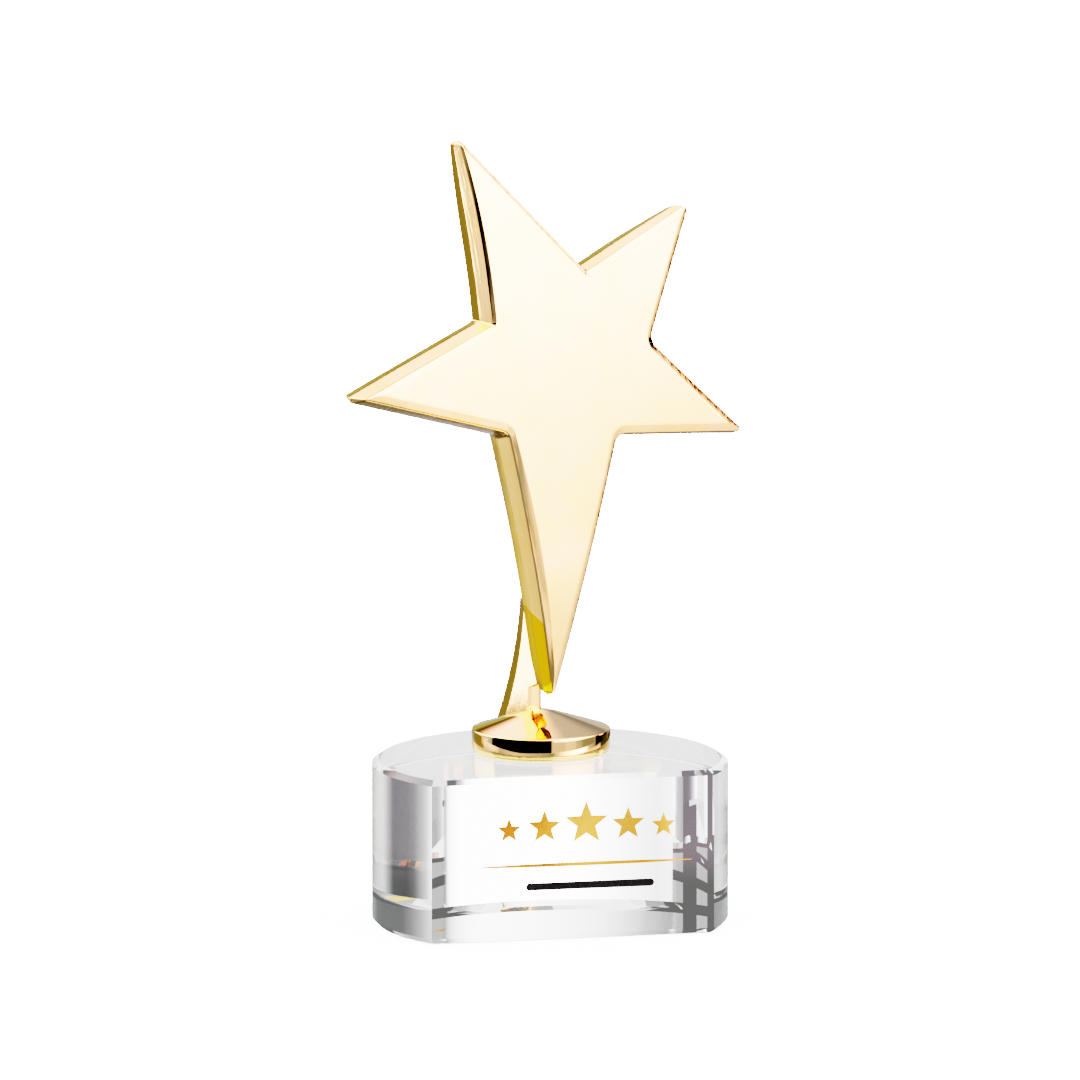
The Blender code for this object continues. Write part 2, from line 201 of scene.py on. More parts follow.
def gold_material(name, waviness=1.0, face_normal=None, streak_tilt=0.0, cloud=55.0,
                  streak=0.16):
    """Polished gold plate on a casting: mirror-bright, with soft casting waves and fine
    polishing streaks on the walls and almost none on the lapped face."""
    mat, n, shader, coords = new_material(name)
    where = coords.outputs["Object"]
    tone = n.noise(where, 90.0, 3.0, 0.55)
    colour = n.ramp(tone, ((0.35, GOLD_DEEP), (0.7, GOLD_LIGHT)))
    n.put(shader.inputs["Base Color"], colour)
    shader.inputs["Metallic"].default_value = 1.0
    grain = n.noise(where, 900.0, 4.0, 0.6)
    n.put(shader.inputs["Roughness"], n.span(grain, 0.3, 0.75, 0.012, 0.05, smooth=False))
    waves = n.noise(where, cloud, 1.5, 0.45, 0.3)
    drawn = n.mapping(where, rotation=(0.0, streak_tilt, FIGURE_TURN), scale=(1.0, 1.0, 16.0))
    streaks = n.noise(drawn, 1000.0, 3.0, 0.55)
    if face_normal is not None:
        facing = n.math("ABSOLUTE", n.vector("DOT_PRODUCT", coords.outputs["Normal"],
                                             face_normal).outputs["Value"])
        on_wall = n.span(facing, 0.9, 0.999, 1.0, 0.012)
    else:
        on_wall = 1.0
    if face_normal is not None:
        wave_strength = n.math("MULTIPLY", on_wall, 0.42 * waviness)
        streak_strength = n.math("MULTIPLY", on_wall, streak * waviness)
    else:
        wave_strength = 0.42 * waviness
        streak_strength = streak * waviness
    first = n.bump(waves, wave_strength, 0.0011)
    n.put(shader.inputs["Normal"], n.bump(streaks, streak_strength, 0.00022, first))
    return mat


# ------------------------------------------------------------------ mesh helpers
def mesh_object(bm, name, mat, matrix=None, sharp=None):
    bmesh.ops.recalc_face_normals(bm, faces=bm.faces)
    bmesh.ops.scale(bm, vec=(MM, MM, MM), verts=bm.verts)
    if matrix is not None:
        bmesh.ops.transform(bm, matrix=matrix, verts=bm.verts)
    mesh = bpy.data.meshes.new(name)
    bm.to_mesh(mesh)
    bm.free()
    mesh.shade_smooth()
    if sharp is not None:
        mesh.set_sharp_from_angle(angle=math.radians(sharp))
    obj = bpy.data.objects.new(name, mesh)
    bpy.context.scene.collection.objects.link(obj)
    mesh.materials.append(mat)
    return obj


def ring_solid(rings):
    """A closed solid through outlines that have the same number of points."""
    bm = bmesh.new()
    loops = [[bm.verts.new(p) for p in ring] for ring in rings]
    bm.faces.new(loops[0])
    bm.faces.new(list(reversed(loops[-1])))
    count = len(loops[0])
    for a, b in zip(loops, loops[1:]):
        for i in range(count):
            j = (i + 1) % count
            bm.faces.new((a[i], b[i], b[j], a[j]))
    return bm


def lathe(profile, steps, axis=(0.0, 0.0)):
    """A closed solid turned from a profile of radius and height; ends on the axis have radius 0."""
    bm = bmesh.new()
    rings = []
    for radius, z in profile:
        if radius < 1e-6:
            rings.append([bm.verts.new((axis[0], axis[1], z))])
        else:
            rings.append([bm.verts.new((axis[0] + radius * math.cos(2 * math.pi * i / steps),
                                        axis[1] + radius * math.sin(2 * math.pi * i / steps), z))
                          for i in range(steps)])
    pairs = list(zip(rings, rings[1:]))
    if len(rings[0]) > 1:
        pairs.append((rings[-1], rings[0]))
    for a, b in pairs:
        for i in range(steps):
            j = (i + 1) % steps
            if len(a) == 1:
                bm.faces.new((a[0], b[i], b[j]))
            elif len(b) == 1:
                bm.faces.new((a[i], b[0], a[j]))
            else:
                bm.faces.new((a[i], b[i], b[j], a[j]))
    return bm


def soften(stops, steps=4):
    """Replaces each stop that has a radius by a short curve between its neighbours.

    A stop is (values, depth, radius); values is a list, one number per edge and more.
    """
    def mix(p, q, t):
        return ([a + (b - a) * t for a, b in zip(p[0], q[0])], p[1] + (q[1] - p[1]) * t)

    def apart(p, q):
        inset = sum(b - a for a, b in zip(p[0][:10], q[0][:10])) / 10
        return math.hypot(inset, q[1] - p[1])

    out = []
    for i, stop in enumerate(stops):
        if i in (0, len(stops) - 1) or stop[2] <= 0:
            out.append((stop[0], stop[1]))
            continue
        before, after = stops[i - 1], stops[i + 1]
        a = mix(stop, before, min(0.45, stop[2] / max(apart(stop, before), 1e-6)))
        c = mix(stop, after, min(0.45, stop[2] / max(apart(stop, after), 1e-6)))
        for k in range(steps + 1):
            t = k / steps
            out.append(mix(mix(a, stop, t), mix(stop, c, t), t))
    return out


# ------------------------------------------------------------------ star
def line_meet(p, d, q, e):
    cross = d.x * e.y - d.y * e.x
    return p + d * (((q.x - p.x) * e.y - (q.y - p.y) * e.x) / cross)


def star_outline(insets, swells, extra_radius):
    """The star's outline with every edge moved in by its own inset, corners rounded."""
    corners = [Vector((c[1], c[2])) for c in STAR_CORNERS]
    count = len(corners)
    moved = []
    for i in range(count):
        a, b = corners[i], corners[(i + 1) % count]
        d = (b - a).normalized()
        moved.append((a + Vector((-d.y, d.x)) * insets[i], d))
    sharp = [line_meet(moved[i - 1][0], moved[i - 1][1], moved[i][0], moved[i][1])
             for i in range(count)]

    def on_edge(i, u):
        a, b = sharp[i], sharp[(i + 1) % count]
        d = b - a
        inward = Vector((-d.y, d.x)).normalized()
        bow = STAR_CORNERS[i][4] + swells[i]
        return (a + d * u + inward * (4 * bow * u * (1 - u)),
                (d + inward * (4 * bow * (1 - 2 * u))).normalized())

    reach = []
    for i in range(count):
        before = (sharp[i] - sharp[i - 1]).normalized()
        after = (sharp[(i + 1) % count] - sharp[i]).normalized()
        turning = math.acos(max(-1.0, min(1.0, before.dot(after))))
        is_tip = STAR_CORNERS[i][0].startswith("tip")
        radius = STAR_CORNERS[i][3] + (-extra_radius if is_tip else extra_radius)
        reach.append((max(radius, 0.12) * math.tan(turning / 2), turning))
    points = []
    for i in range(count):
        length_before = (sharp[i] - sharp[i - 1]).length
        length_after = (sharp[(i + 1) % count] - sharp[i]).length
        p0, t0 = on_edge((i - 1) % count, 1 - reach[i][0] / length_before)
        p2, t2 = on_edge(i, reach[i][0] / length_after)
        p1 = line_meet(p0, t0, p2, t2)
        weight = math.cos(reach[i][1] / 2)
        steps = TIP_POINTS if STAR_CORNERS[i][0].startswith("tip") else CROOK_POINTS
        for k in range(steps + 1):
            t = k / steps
            w0, w1, w2 = (1 - t) ** 2, 2 * t * (1 - t) * weight, t * t
            points.append((p0 * w0 + p1 * w1 + p2 * w2) / (w0 + w1 + w2))
        u0 = reach[i][0] / length_after
        u1 = 1 - reach[(i + 1) % count][0] / length_after
        for k in range(1, EDGE_POINTS + 1):
            points.append(on_edge(i, u0 + (u1 - u0) * k / (EDGE_POINTS + 1))[0])
    return points


thinnings = []
for label, x, z, *_ in STAR_CORNERS:
    for loss, length, power in STAR_TIP_THINNING.get(label, ()):
        tip = Vector((x, z))
        thinnings.append((tip, (STAR_HEART - tip).normalized(), loss, length, power))


def star_thinning(x, z):
    thin = 0.0
    for tip, axis, loss, length, power in thinnings:
        d = (Vector((x, z)) - tip).dot(axis)
        if d < length:
            thin += loss * (1 - max(d, 0.0) / length) ** power
    return thin


def star_stop(insets, swells, extra_radius, depth, radius=0.0):
    return (list(insets) + list(swells) + [extra_radius], depth, radius)


flat = [0.0] * 10
bevel = [c[5] for c in STAR_CORNERS]
swell = [c[6] for c in STAR_CORNERS]
back_arris = STAR_FRONT + STAR_WALL
stops = soften([
    star_stop([b + 0.9 for b in bevel], swell, 1.5, STAR_FRONT - STAR_BEVEL_DEPTH),
    star_stop(bevel, swell, 1.2, STAR_FRONT - STAR_BEVEL_DEPTH, 0.22),
    star_stop(flat, flat, 0.0, STAR_FRONT, 0.36),
    star_stop([-c[7] for c in STAR_CORNERS], flat, -0.8, (STAR_FRONT + back_arris) / 2, 0.42),
    star_stop([c[8] for c in STAR_CORNERS], flat, 0.0, back_arris, 0.4),
    star_stop([c[8] + STAR_BACK_BEVEL for c in STAR_CORNERS], flat, STAR_BACK_BEVEL,
              back_arris + STAR_BEVEL_DEPTH, 0.3),
    star_stop([c[8] + STAR_BACK_BEVEL + 0.9 for c in STAR_CORNERS], flat,
              STAR_BACK_BEVEL + 0.3, back_arris + STAR_BEVEL_DEPTH),
])
star_bm = ring_solid([[Vector((p.x, depth, p.y))
                       for p in star_outline(values[:10], values[10:20], values[20])]
                      for values, depth in stops])
for tip, axis, loss, length, power in thinnings:
    for share in (0.04, 0.09, 0.15, 0.22, 0.3, 0.4, 0.52, 0.66, 0.82, 1.0):
        point = tip + axis * (length * share)
        back = [f for f in star_bm.faces
                if min(v.co.y for v in f.verts) > back_arris + STAR_BEVEL_DEPTH - 0.01]
        cut = set(back)
        for face in back:
            cut.update(face.edges)
            cut.update(face.verts)
        bmesh.ops.bisect_plane(star_bm, geom=list(cut), dist=1e-5,
                               plane_co=(point.x, 0.0, point.y), plane_no=(axis.x, 0.0, axis.y))
for vert in star_bm.verts:
    behind = vert.co.y - STAR_FRONT
    if behind > 0:
        vert.co.y = STAR_FRONT + behind * (1 - star_thinning(vert.co.x, vert.co.z) / STAR_WALL)
star_front_normal = TO_FIGURE.to_3x3() @ Vector((0.0, -1.0, 0.0))
gold_star = gold_material("gold_star", 1.0, tuple(star_front_normal), -0.197, 55.0, 0.35)

# The plate is painted a deeper yellow where the lower arm's wall faces the leg: a painted reflection of the leg's gold.
n = Nodes(gold_star.node_tree)
shader = gold_star.node_tree.nodes["Principled BSDF"]
coords = n.add("ShaderNodeTexCoord")
split = n.add("ShaderNodeSeparateXYZ")
n.put(split.inputs[0], coords.outputs["Object"])
figure_back = Vector((-math.sin(FIGURE_TURN), math.cos(FIGURE_TURN), 0.0))
figure_left = Vector((-math.cos(FIGURE_TURN), -math.sin(FIGURE_TURN), 0.0))
depth = n.math("SUBTRACT", n.vector("DOT_PRODUCT", coords.outputs["Object"],
                                    tuple(figure_back)).outputs["Value"], figure_back.dot(FIGURE))
below = n.math("SUBTRACT", 0.0823, split.outputs["Z"])
past = n.math("ADD", n.math("ADD", depth, 0.0017), n.math("MULTIPLY", below, 1.5))
leftward = n.vector("DOT_PRODUCT", coords.outputs["Normal"], tuple(figure_left)).outputs["Value"]
painted_reflection_zone = n.math("MULTIPLY", n.math("MULTIPLY", n.span(past, 0.0, 0.0004), n.span(below, 0.0, 0.0004)),
              n.span(leftward, 0.6, 0.8))
plain_gold = shader.inputs["Base Color"].links[0].from_socket
# the painted reflection colour, mixed over the plain gold
deeper = n.add("ShaderNodeMix", data_type="RGBA")
rgba = [k for k in deeper.inputs if k.type == "RGBA"]
n.put(deeper.inputs[0], painted_reflection_zone)
n.put(rgba[0], plain_gold)
n.put(rgba[1], (0.74, 0.44, 0.006, 1.0))
gold_with_painted_reflection = [k for k in deeper.outputs if k.type == "RGBA"][0]

# The blunt end of the lower arm, over the disc, is painted near-black on its downward faces as painted shade, so it
# reads dark in the dome.
normal = n.add("ShaderNodeSeparateXYZ")
n.put(normal.inputs[0], coords.outputs["Normal"])
painted_underside_shade = n.math("MULTIPLY", n.span(normal.outputs["Z"], -0.7, -0.4, 1.0, 0.0),
                 n.span(split.outputs["Z"], 0.0600, 0.0606, 1.0, 0.0))
end = n.add("ShaderNodeMix", data_type="RGBA")
rgba = [k for k in end.inputs if k.type == "RGBA"]
n.put(end.inputs[0], painted_underside_shade)
n.put(rgba[0], gold_with_painted_reflection)
# near-black painted shade colour
n.put(rgba[1], (0.04, 0.026, 0.006, 1.0))
n.put(shader.inputs["Base Color"], [k for k in end.outputs if k.type == "RGBA"][0])
star = mesh_object(star_bm, "star_casting", gold_star, TO_FIGURE, sharp=None)


# ------------------------------------------------------------------ leg
def bezier(p0, p1, p2, steps):
    out = []
    for k in range(steps + 1):
        t = k / steps
        out.append(((1 - t) ** 2 * p0[0] + 2 * t * (1 - t) * p1[0] + t * t * p2[0],
                    (1 - t) ** 2 * p0[1] + 2 * t * (1 - t) * p1[1] + t * t * p2[1]))
    return out


def dome(radius):
    return DISC_APEX - DOME_SLOPE * (math.hypot(radius, DOME_BLUNT) - DOME_BLUNT)


def star_back_at(z):
    wall = STAR_WALL - star_thinning(0.0, z)
    return STAR_FRONT + (STAR_WALL + STAR_BEVEL_DEPTH) * wall / STAR_WALL


def leg_outline(rear, front_inset):
    """Side view of the leg: rear curve down, foot sunk in the dome, front edge up."""
    foot_rear = rear[-1][0]
    foot_front = 2.5 + front_inset
    foot = [foot_rear + (foot_front - foot_rear) * k / 8 for k in range(1, 9)]
    foot = [(depth, dome(depth) - 0.25) for depth in foot]
    toe = bezier((2.5, 55.0), (2.5, 57.4), (2.45, 59.4), 8)
    spine = [(star_back_at(z) - 0.05, z) for z in (61.0, 63.0, 65.0, 68.0, 72.0, 77.0, LEG_TOP)]
    return rear + foot + [(depth + front_inset, z) for depth, z in toe + spine]


rear_outer = bezier((7.7, LEG_TOP), (8.9, 67.0), (17.9, dome(17.9) - 0.15), 40)
rear_inner = bezier((4.5, LEG_TOP - 0.4), (5.4, 66.0), (12.6, dome(12.6) - 0.1), 40)
outer = leg_outline(rear_outer, 0.0)
inner = leg_outline(rear_inner, 0.35)
half = LEG_THICKNESS / 2


def between(a, b, t):
    return [(p[0] + (q[0] - p[0]) * t, p[1] + (q[1] - p[1]) * t) for p, q in zip(a, b)]


leg_rings = [(-half, between(inner, outer, -0.06)), (-half, inner),
             (-half + 0.13, between(inner, outer, 0.11)),
             (-half + LEG_FLANK - 0.14, between(inner, outer, 0.87)),
             (-half + LEG_FLANK - 0.03, between(inner, outer, 0.96)),
             (-half + LEG_FLANK + 0.1, outer)]
leg_rings += [(-x, ring) for x, ring in reversed(leg_rings)]
leg_bm = ring_solid([[Vector((x, d, z)) for d, z in ring] for x, ring in leg_rings])
gold_leg = gold_material("gold_leg", 0.3, None, 0.35, 60.0, 0.5)
leg = mesh_object(leg_bm, "leg_casting", gold_leg, TO_FIGURE, sharp=40)

# ------------------------------------------------------------------ domed disc
shoulder = DISC_RADIUS - 0.45
disc_foot = CRYSTAL_HEIGHT + 0.04
profile = [(shoulder * (i / 40) ** 0.8, dome(shoulder * (i / 40) ** 0.8)) for i in range(41)]
for i in range(1, 9):
    a = math.radians(84 * i / 8)
    profile.append((shoulder + 0.45 * math.sin(a) / math.sin(math.radians(84)),
                    dome(shoulder) - 0.5 * (1 - math.cos(a))))
wall_top = profile[-1]
for i in range(1, 9):
    t = i / 8
    z = wall_top[1] + (disc_foot + 1.0 - wall_top[1]) * t
    profile.append((DISC_RADIUS + 0.06 * math.sin(math.pi * t) - 0.02, z))
profile += [(DISC_RADIUS - 0.05, disc_foot + 0.85), (DISC_RADIUS - 0.2, disc_foot + 0.75),
            (DISC_RADIUS - 0.25, disc_foot + 0.6), (DISC_RADIUS - 0.22, disc_foot + 0.35),
            (DISC_RADIUS - 0.27, disc_foot + 0.15), (DISC_RADIUS - 0.38, disc_foot)]
inside = DISC_RADIUS - 3.6
profile += [(inside, disc_foot), (inside + 0.1, dome(inside) - 3.2)]
profile += [(inside * 0.93 * i / 8, dome(inside * 0.93 * i / 8) - 2.4) for i in range(8, -1, -1)]
disc_bm = lathe(profile, 288)
gold_disc = gold_material("gold_disc", 0.12, None, 0.0, 70.0)
disc = mesh_object(disc_bm, "disc_casting", gold_disc, TO_FIGURE, sharp=50)

# The turned wall is very slightly bellied, and here its shading normals are tilted slightly upward, so it picks up the
# studio and not the crystal.
n = Nodes(gold_disc.node_tree)
shader = gold_disc.node_tree.nodes["Principled BSDF"]
surface = n.add("ShaderNodeNewGeometry")
split = n.add("ShaderNodeSeparateXYZ")
n.put(split.inputs[0], surface.outputs["True Normal"])
upright = n.span(n.math("ABSOLUTE", split.outputs["Z"]), 0.12, 0.3, 0.115, 0.0)
lift = n.add("ShaderNodeCombineXYZ")
n.put(lift.inputs[2], upright)
for node in [k for k in gold_disc.node_tree.nodes if k.type == "BUMP"]:
    if not node.inputs["Normal"].is_linked:
        tilted = n.vector("NORMALIZE", n.vector("ADD", surface.outputs["Normal"],
                                                lift.outputs[0]).outputs[0]).outputs[0]
        n.put(node.inputs["Normal"], tilted)

# ------------------------------------------------------------------ adhesive film
film_bm = lathe([(DISC_RADIUS - 0.75, CRYSTAL_HEIGHT + 0.03), (DISC_RADIUS - 0.7, CRYSTAL_HEIGHT + 0.015),
                 (DISC_RADIUS - 3.4, CRYSTAL_HEIGHT + 0.015), (DISC_RADIUS - 3.45, CRYSTAL_HEIGHT + 0.03)],
                144)
film_mat, n, shader, coords = new_material("cured_adhesive")
spots = n.noise(coords.outputs["Object"], 500.0, 2.0)
n.put(shader.inputs["Base Color"], n.ramp(spots, ((0.3, (0.80, 0.82, 0.78)), (0.7, (0.93, 0.94, 0.92)))))
n.put(shader.inputs["Roughness"], n.span(spots, 0.3, 0.7, 0.15, 0.35))
n.put(shader.inputs["Normal"], n.bump(spots, 0.2, 0.0001))
film = mesh_object(film_bm, "adhesive_film", film_mat, TO_FIGURE, sharp=40)


# ------------------------------------------------------------------ crystal block
def crystal_outline(round_inset, flat_inset, z, steps):
    radius = CRYSTAL_RADIUS - round_inset
    half_angle = math.acos((CRYSTAL_FLAT - flat_inset) / radius)
    start = -math.pi / 2 + half_angle
    sweep = 2 * math.pi - 2 * half_angle
    return [Vector((radius * math.cos(start + sweep * i / steps),
                    radius * math.sin(start + sweep * i / steps), z))
            for i in range(steps + 1)]


def crystal_material():
    mat, n, shader, coords = new_material("optical_crystal")
    where = coords.outputs["Object"]
    shader.inputs["Base Color"].default_value = (0.985, 0.992, 0.99, 1.0)
    shader.inputs["Transmission Weight"].default_value = 1.0
    shader.inputs["IOR"].default_value = 1.52
    polish = n.noise(where, 260.0, 3.0, 0.5)
    n.put(shader.inputs["Roughness"], n.span(polish, 0.45, 0.8, 0.0, 0.012))
    # a trace of glow stands for the many inner reflections that a renderer cuts off
    shader.inputs["Emission Color"].default_value = (1.0, 1.0, 0.98, 1.0)
    shader.inputs["Emission Strength"].default_value = 0.02
    lap = n.noise(where, 22.0, 1.0, 0.4)
    n.put(shader.inputs["Normal"], n.bump(lap, 0.03, 0.0003))
    return mat


CRYSTAL_STEPS = 360
crystal_bm = ring_solid([
    crystal_outline(CRYSTAL_FOOT, CRYSTAL_FOOT, 0.0, CRYSTAL_STEPS),
    crystal_outline(0.0, 0.0, CRYSTAL_FOOT, CRYSTAL_STEPS),
    crystal_outline(0.0, 0.0, CRYSTAL_HEIGHT - CRYSTAL_RIM_FLAT, CRYSTAL_STEPS),
    crystal_outline(CRYSTAL_RIM_ROUND, CRYSTAL_RIM_FLAT, CRYSTAL_HEIGHT, CRYSTAL_STEPS),
])
crystal = mesh_object(crystal_bm, "crystal_block", crystal_material(), None, sharp=15)

# ------------------------------------------------------------------ plain printed marks on the facet
PRINT_FRONT = -CRYSTAL_FLAT - 0.035
PRINT_BACK = -CRYSTAL_FLAT - 0.012


def print_piece(outlines, name, mat):
    """Thin slabs of ink on the flat facet; each outline is a list of (x, z)."""
    bm = bmesh.new()
    for outline in outlines:
        front = [bm.verts.new((x, PRINT_FRONT, z)) for x, z in outline]
        back = [bm.verts.new((x, PRINT_BACK, z)) for x, z in outline]
        bm.faces.new(front)
        bm.faces.new(list(reversed(back)))
        for i in range(len(outline)):
            j = (i + 1) % len(outline)
            bm.faces.new((front[i], back[i], back[j], front[j]))
    return mesh_object(bm, name, mat, None, sharp=30)


def plain_star(cx, cz, size):
    points = []
    for i in range(10):
        a = math.pi / 2 + i * math.pi / 5
        r = size if i % 2 == 0 else size * 0.42
        points.append((cx + r * math.cos(a), cz + r * math.sin(a)))
    return points


def rule(x0, x1, z, height, pointed=False, steps=32):
    """A straight rule with rounded ends, or one that thins to a point at both ends."""
    top, bottom = [], []
    if pointed:
        for i in range(steps + 1):
            t = i / steps
            h = height / 2 * math.sin(math.pi * t) ** 0.6 if 0 < t < 1 else 0.0
            x = x0 + (x1 - x0) * t
            top.append((x, z + h))
            if 0 < t < 1:
                bottom.append((x, z - h))
        return top + bottom[::-1]
    r = height / 2
    for i in range(steps + 1):
        a = math.pi / 2 - math.pi * i / steps
        top.append((x1 - r + r * math.cos(a), z + r * math.sin(a)))
    for i in range(steps + 1):
        a = -math.pi / 2 - math.pi * i / steps
        bottom.append((x0 + r + r * math.cos(a), z + r * math.sin(a)))
    return top + bottom


foil, n, shader, coords = new_material("gold_foil_print")
split = n.add("ShaderNodeSeparateXYZ")
n.put(split.inputs[0], coords.outputs["Object"])
wobble = n.noise(coords.outputs["Object"], 60.0, 2.0)
# The foil's colour runs in bands across its width, from dark brown to bright gold: a painted reflection on the metal
# foil.
blend = n.math("ADD", n.span(split.outputs["X"], -0.022, 0.036, 0.0, 1.0, smooth=False),
               n.math("MULTIPLY", wobble, 0.3))
n.put(shader.inputs["Base Color"], n.ramp(blend, (
    (0.10, (0.42, 0.17, 0.03)), (0.35, (0.80, 0.45, 0.06)), (0.6, (0.95, 0.66, 0.14)),
    (0.85, (0.70, 0.40, 0.05)), (1.0, (0.90, 0.60, 0.12)))))
shader.inputs["Metallic"].default_value = 1.0
n.put(shader.inputs["Roughness"], n.span(wobble, 0.3, 0.7, 0.3, 0.45))
n.put(shader.inputs["Normal"], n.bump(n.noise(coords.outputs["Object"], 1500.0, 2.0), 0.15, 0.00005))

ink, n, shader, coords = new_material("dark_ink_print")
grain = n.noise(coords.outputs["Object"], 1200.0, 3.0)
n.put(shader.inputs["Base Color"], n.ramp(grain, ((0.3, (0.0006, 0.0006, 0.0007)), (0.7, (0.0016, 0.0016, 0.0018)))))
n.put(shader.inputs["Roughness"], n.span(grain, 0.3, 0.7, 0.4, 0.6))
shader.inputs["Specular IOR Level"].default_value = 0.1
n.put(shader.inputs["Normal"], n.bump(grain, 0.2, 0.00005))

prints = [
    print_piece([plain_star(-17.0, 29.2, 3.4), plain_star(-7.6, 29.8, 4.6), plain_star(3.5, 30.4, 6.0),
                 plain_star(14.6, 29.8, 4.6), plain_star(24.0, 29.2, 3.4)], "print_star_row", foil),
    print_piece([rule(-27.0, 32.0, 19.8, 1.0, pointed=True)], "print_gold_rule", foil),
    print_piece([rule(-12.5, 21.5, 14.2, 1.9)], "print_dark_rule", ink),
]

# ------------------------------------------------------------------ hidden fasteners, as the CAD has them
steel, n, shader, coords = new_material("ground_steel")
lines = n.noise(n.mapping(coords.outputs["Object"], scale=(1.0, 1.0, 0.05)), 1500.0, 3.0)
n.put(shader.inputs["Base Color"], n.ramp(lines, ((0.3, (0.45, 0.45, 0.46)), (0.7, (0.66, 0.66, 0.67)))))
shader.inputs["Metallic"].default_value = 1.0
n.put(shader.inputs["Roughness"], n.span(lines, 0.3, 0.7, 0.2, 0.4))
n.put(shader.inputs["Normal"], n.bump(lines, 0.2, 0.00005))

zinc, n, shader, coords = new_material("zinc_plate")
spangle = n.noise(coords.outputs["Object"], 700.0, 4.0, 0.6)
n.put(shader.inputs["Base Color"], n.ramp(spangle, ((0.3, (0.55, 0.57, 0.60)), (0.7, (0.76, 0.77, 0.79)))))
shader.inputs["Metallic"].default_value = 1.0
n.put(shader.inputs["Roughness"], n.span(spangle, 0.3, 0.7, 0.25, 0.45))
n.put(shader.inputs["Normal"], n.bump(spangle, 0.25, 0.00005))

for node, mat in (("lower_dowel", steel), ("upper_dowel", steel), ("leg_screw", zinc),
                  ("screw_washer", zinc)):
    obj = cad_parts[node]
    obj.data.materials.clear()
    obj.data.materials.append(mat)

# ------------------------------------------------------------------ what stands for what
for piece, node, slot_name in ((star, "star", "gold_plate"), (leg, "support_leg", "gold_plate"),
                               (disc, "base_disc", "gold_plate"), (film, "bond_ring", "adhesive"),
                               (crystal, "crystal_base", "crystal")):
    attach(piece, "root")
    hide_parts(node)
for piece in prints:
    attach(piece, "root")

# ------------------------------------------------------------------ studio: floor
FLOOR_Z = -0.0002


def stage_disc(name, radius, z, mat, rotation=0.0):
    bm = bmesh.new()
    bmesh.ops.create_circle(bm, cap_ends=True, segments=96, radius=radius)
    mesh = bpy.data.meshes.new(name)
    bm.to_mesh(mesh)
    bm.free()
    obj = bpy.data.objects.new(name, mesh)
    obj.location = (0.0, 0.0, z)
    obj.rotation_euler = (0.0, 0.0, rotation)
    bpy.context.scene.collection.objects.link(obj)
    mesh.materials.append(mat)
    return obj


floor_mat, n, shader, coords = new_material("white_sweep")
shader.inputs["Base Color"].default_value = (0.93, 0.93, 0.93, 1.0)
shader.inputs["Roughness"].default_value = 0.25
shader.inputs["Specular IOR Level"].default_value = 0.12
floor = stage_disc("floor", 30.0, FLOOR_Z, floor_mat)

# ------------------------------------------------------------------ studio: softboxes and flags
# A shell overhead and a sheet on the table carry the softboxes and black flags: one pair
# is seen in the polished surfaces and the other through the crystal. Angles go round
# from the front, right positive; brightness is a share of LIGHT, with an optional tint.
LIGHT = 8.0
OLIVE = (1.0, 1.04, 0.45)
STRAW = (1.0, 0.97, 0.72)
CREAM = (1.12, 1.0, 1.2)
PLAIN = (1.0, 1.0, 1.0)
# the bright softboxes are warm and the dim cards are cool: brightness, red, blue
WARMTH = ((0.0, 0.95, 0.8), (0.03, 0.9, 1.3), (0.05, 0.84, 1.6), (0.08, 0.92, 1.6), (0.12, 1.2, 1.5),
          (0.23, 1.8, 1.2), (0.34, 2.2, 1.15), (0.66, 1.8, 1.2), (1.2, 1.5, 1.2))


def light_only(obj, through_glass):
    obj.visible_camera = False
    obj.visible_diffuse = False
    obj.visible_shadow = False
    obj.visible_volume_scatter = False
    obj.visible_glossy = not through_glass
    obj.visible_transmission = through_glass


class Emitter(Nodes):
    """An emission material that is written in compass angle, distance and height."""

    def __init__(self, name, warm):
        self.warm = warm
        self.material = bpy.data.materials.new(name)
        self.material.use_nodes = True
        self.material.node_tree.nodes.clear()
        super().__init__(self.material.node_tree)
        coords = self.add("ShaderNodeTexCoord")
        split = self.add("ShaderNodeSeparateXYZ")
        self.put(split.inputs[0], coords.outputs["Object"])
        x, y, z = split.outputs
        turn = self.math("ARCTAN2", x, self.math("MULTIPLY", y, -1.0))
        self.angle = self.math("MULTIPLY", turn, 180 / math.pi)
        square = self.math("ADD", self.math("MULTIPLY", x, x), self.math("MULTIPLY", y, y))
        self.distance = self.math("SQRT", square)
        self.height = self.math("MULTIPLY", self.math("ARCTAN2", z, self.distance), 180 / math.pi)
        self.glow = self.add("ShaderNodeEmission")
        self.glow.inputs["Strength"].default_value = LIGHT
        out = self.add("ShaderNodeOutputMaterial")
        self.put(out.inputs["Surface"], self.glow.outputs[0])

    def tint(self, brightness):
        if not self.warm:
            return PLAIN
        for (b0, r0, l0), (b1, r1, l1) in zip(WARMTH, WARMTH[1:]):
            if brightness <= b1:
                t = (brightness - b0) / (b1 - b0)
                return (r0 + (r1 - r0) * t, 1.0, l0 + (l1 - l0) * t)
        return (WARMTH[-1][1], 1.0, WARMTH[-1][2])

    def ring(self, stops):
        """Brightness round the compass, from stops of angle, brightness and tint."""
        value = self.span(self.angle, -180.0, 180.0, 0.0, 1.0, smooth=False)
        colours = []
        for angle, brightness, *tint in stops:
            share = tint[0] if tint else self.tint(brightness)
            colours.append(((angle + 180) / 360, tuple(brightness * k for k in share)))
        return self.ramp(value, colours)

    def blend(self, fac, a, b):
        node = self.add("ShaderNodeMix", data_type="RGBA")
        self.put(node.inputs[0], fac)
        ends = [k for k in node.inputs if k.type == "RGBA"]
        self.put(ends[0], a)
        self.put(ends[1], b)
        return [k for k in node.outputs if k.type == "RGBA"][0]

    def layers(self, value, rings):
        """Rings stacked by distance or height: (value, ring), blended between."""
        colour = rings[0][1]
        for (v0, _), (v1, ring) in zip(rings, rings[1:]):
            colour = self.blend(self.span(value, v0, v1), colour, ring)
        return colour


